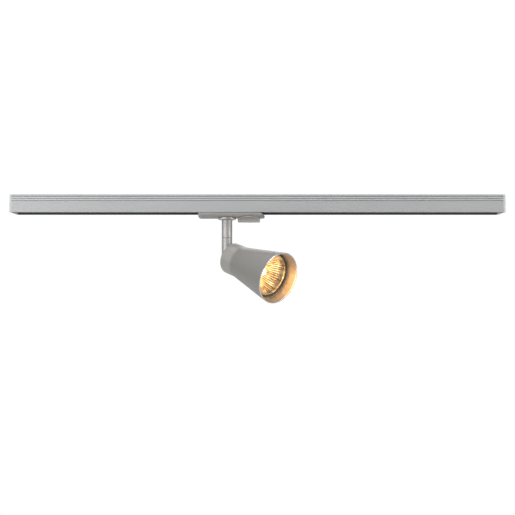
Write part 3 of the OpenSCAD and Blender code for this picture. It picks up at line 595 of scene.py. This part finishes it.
facetted_bowl()
paint(["lamp_front_glass"], front_glass)
paint(["lamp_capsule"], capsule_glass)
paint(["lamp_filament"], filament_glow)


# ---------- floor, light and camera ----------

scene = bpy.context.scene

FLOOR_R = 12
FLOOR_Z = -1.25
FLOOR_SIDES = 64
WORLD_DOWN = (0.20, 0.20, 0.20, 1)
WORLD_LEVEL = (0.38, 0.38, 0.385, 1)
WORLD_UP = (0.90, 0.90, 0.91, 1)
LIGHTS_AIM = (0, 0, -0.06)


def pale_floor():
    """A round pale floor, plain white to the camera, which lights the part with its own paint."""
    angles = [2 * math.pi * i / FLOOR_SIDES for i in range(FLOOR_SIDES)]
    outline = [(FLOOR_R * math.cos(a), FLOOR_R * math.sin(a), FLOOR_Z) for a in angles]
    mesh = bpy.data.meshes.new("floor")
    mesh.from_pydata(outline, [], [list(range(FLOOR_SIDES))])
    floor = bpy.data.objects.new("floor", mesh)
    scene.collection.objects.link(floor)
    m = Mat("floor_paint")
    grain = m.noise(m.mapping(), 3, 5, 0.5)
    m.set(color=m.mix(grain, (0.76, 0.76, 0.76), (0.80, 0.80, 0.80)), rough=0.7,
          emit=(1.0, 0.99, 0.98), power=m.map_range(grain, 0.0, 1.0, 0.06, 0.09))
    white = m.tree.nodes.new("ShaderNodeEmission")
    seen = m.tree.nodes.new("ShaderNodeMixShader")
    path = m.tree.nodes.new("ShaderNodeLightPath")
    m.link(path.outputs["Is Camera Ray"], seen.inputs[0])
    m.link(m.bsdf.outputs[0], seen.inputs[1])
    m.link(white.outputs[0], seen.inputs[2])
    m.link(seen.outputs[0], m.out.inputs["Surface"])
    mesh.materials.append(m.material)


def studio_world():
    """White to the camera, and a soft grey that brightens upward for all other light."""
    world = bpy.data.worlds.new("studio")
    scene.world = world
    world.use_nodes = True
    tree = world.node_tree
    tree.nodes.clear()
    coord = tree.nodes.new("ShaderNodeTexCoord")
    split = tree.nodes.new("ShaderNodeSeparateXYZ")
    height = tree.nodes.new("ShaderNodeMapRange")
    height.inputs["From Min"].default_value = -1
    height.inputs["From Max"].default_value = 1
    ramp = tree.nodes.new("ShaderNodeValToRGB")
    ramp.color_ramp.elements[0].color = WORLD_DOWN
    ramp.color_ramp.elements[1].color = WORLD_UP
    level = ramp.color_ramp.elements.new(0.5)
    level.color = WORLD_LEVEL
    light = tree.nodes.new("ShaderNodeBackground")
    light.inputs["Strength"].default_value = 0.8
    seen = tree.nodes.new("ShaderNodeBackground")
    seen.inputs["Color"].default_value = (1, 1, 1, 1)
    seen.inputs["Strength"].default_value = 1.05
    path = tree.nodes.new("ShaderNodeLightPath")
    mix = tree.nodes.new("ShaderNodeMixShader")
    out = tree.nodes.new("ShaderNodeOutputWorld")
    tree.links.new(coord.outputs["Generated"], split.inputs[0])
    tree.links.new(split.outputs[2], height.inputs["Value"])
    tree.links.new(height.outputs[0], ramp.inputs[0])
    tree.links.new(ramp.outputs[0], light.inputs["Color"])
    tree.links.new(path.outputs["Is Camera Ray"], mix.inputs[0])
    tree.links.new(light.outputs[0], mix.inputs[1])
    tree.links.new(seen.outputs[0], mix.inputs[2])
    tree.links.new(mix.outputs[0], out.inputs[0])


def area_light(name, place, target, size, power, color=(1, 1, 1), size_y=None):
    """A soft box at a place, turned to a target."""
    data = bpy.data.lights.new(name, "AREA")
    data.shape = "RECTANGLE"
    data.size = size
    data.size_y = size_y or size
    data.energy = power
    data.color = color
    light = bpy.data.objects.new(name, data)
    scene.collection.objects.link(light)
    light.location = place
    light.rotation_euler = (Vector(target) - Vector(place)).to_track_quat("-Z", "Y").to_euler()


LAMP_LIGHT_D = 0.026
LAMP_LIGHT_POWER = 0.030
LAMP_LIGHT_GAP = 0.0006


def lamp_glow():
    """The lamp's own light, just in front of its glass, which rides with the lamp."""
    data = bpy.data.lights.new("lamp_light", "AREA")
    data.shape = "DISK"
    data.size = LAMP_LIGHT_D
    data.energy = LAMP_LIGHT_POWER
    data.color = (1.0, 0.48, 0.13)
    lamp_light = bpy.data.objects.new("lamp_light", data)
    scene.collection.objects.link(lamp_light)
    ahead = Matrix.Translation((0, 0, LAMP_FACE + LAMP_LIGHT_GAP))
    lamp_light.matrix_world = HEAD @ ahead @ Matrix.Rotation(math.pi, 4, "X")
    lamp_light.visible_camera = False
    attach(lamp_light, "lamp")


CAMERA_DISTANCE = 1.05
CAMERA_HEIGHT = -0.13037
VIEW_WIDTH = 0.628
VIEW_CENTRE = Vector((0.0, -0.0175, -0.07757))
SENSOR_MM = 36


def front_camera():
    """A camera in front of the track, aimed a little upward at the view's centre."""
    data = bpy.data.cameras.new("camera")
    camera = bpy.data.objects.new("camera", data)
    scene.collection.objects.link(camera)
    camera.location = (0.0, VIEW_CENTRE.y - CAMERA_DISTANCE, CAMERA_HEIGHT)
    aim = VIEW_CENTRE - camera.location
    camera.rotation_euler = aim.to_track_quat("-Z", "Y").to_euler()
    data.sensor_width = SENSOR_MM
    data.lens = SENSOR_MM * aim.length / VIEW_WIDTH
    data.clip_start = 0.01
    data.clip_end = 50
    scene.camera = camera


pale_floor()
studio_world()
area_light("soft_left", (-1.95, -1.85, 0.35), LIGHTS_AIM, 2.1, 47, size_y=1.6)
area_light("soft_right", (2.4, -1.35, 0.10), LIGHTS_AIM, 0.5, 29, (1.0, 0.99, 0.98), 0.9)
area_light("top", (0.0, -0.4, 1.2), (0, 0, 0), 1.2, 13)
area_light("back", (-0.6, 1.8, 0.55), (0, 0, -0.05), 1.5, 11)
lamp_glow()
front_camera()
scene.view_settings.view_transform = "Standard"
